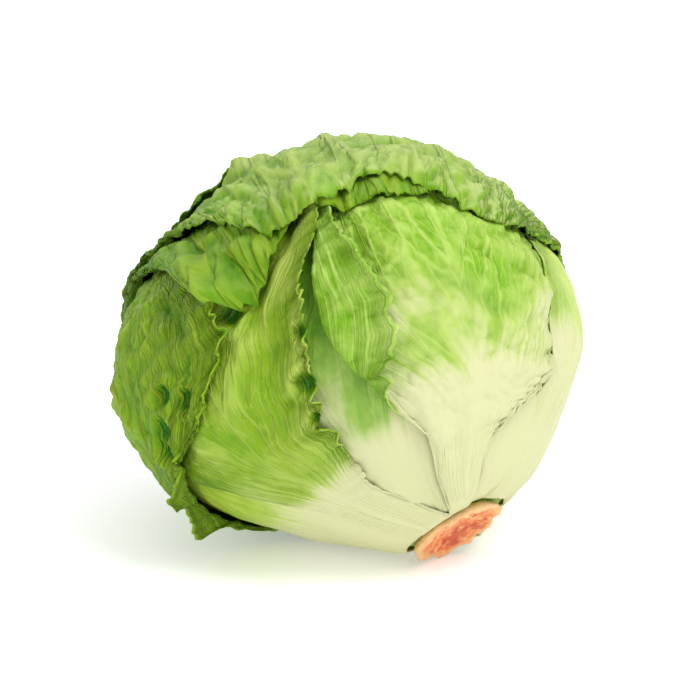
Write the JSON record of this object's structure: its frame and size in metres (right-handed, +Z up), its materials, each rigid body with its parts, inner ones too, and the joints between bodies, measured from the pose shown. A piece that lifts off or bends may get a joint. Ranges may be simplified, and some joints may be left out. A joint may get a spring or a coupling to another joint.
{
  "type": "head of lettuce",
  "caption": "Whole crisp lettuce head of overlapping frilled leaves round a dense heart, lying tilted with its cut stem low at the front.",
  "frame": {"origin": "middle of the small flat spot that the head rests on, on the surface below it", "axes": "+Z up; -Y toward the front, where the cut stem and the open leaf margins show; +X to the right"},
  "size_m": [0.1639, 0.1686, 0.1426],
  "materials": {
    "heart": "pale yellow-green inner leaves packed tight, softly shaded",
    "cut_stem": "moist cut stem browned to orange, paler round its rim",
    "pale_leaf": "light green blade with cream-white ribs near the stem, satin",
    "green_leaf": "yellow-green blade with paler veins and a faint grey bloom, satin"
  },
  "bodies": {
    "root": {"heart": "heart", "cut_stem": "cut_stem", "leaf_under_right": "pale_leaf", "leaf_inner_left": "pale_leaf", "leaf_back_low": "pale_leaf", "leaf_under_front": "pale_leaf", "leaf_centre": "pale_leaf", "leaf_right": "pale_leaf", "leaf_back_right": "green_leaf", "leaf_left": "green_leaf", "leaf_far_left": "green_leaf", "leaf_top_inner": "green_leaf", "leaf_top": "green_leaf", "leaf_back_left": "green_leaf"}
  },
  "joints": []
}
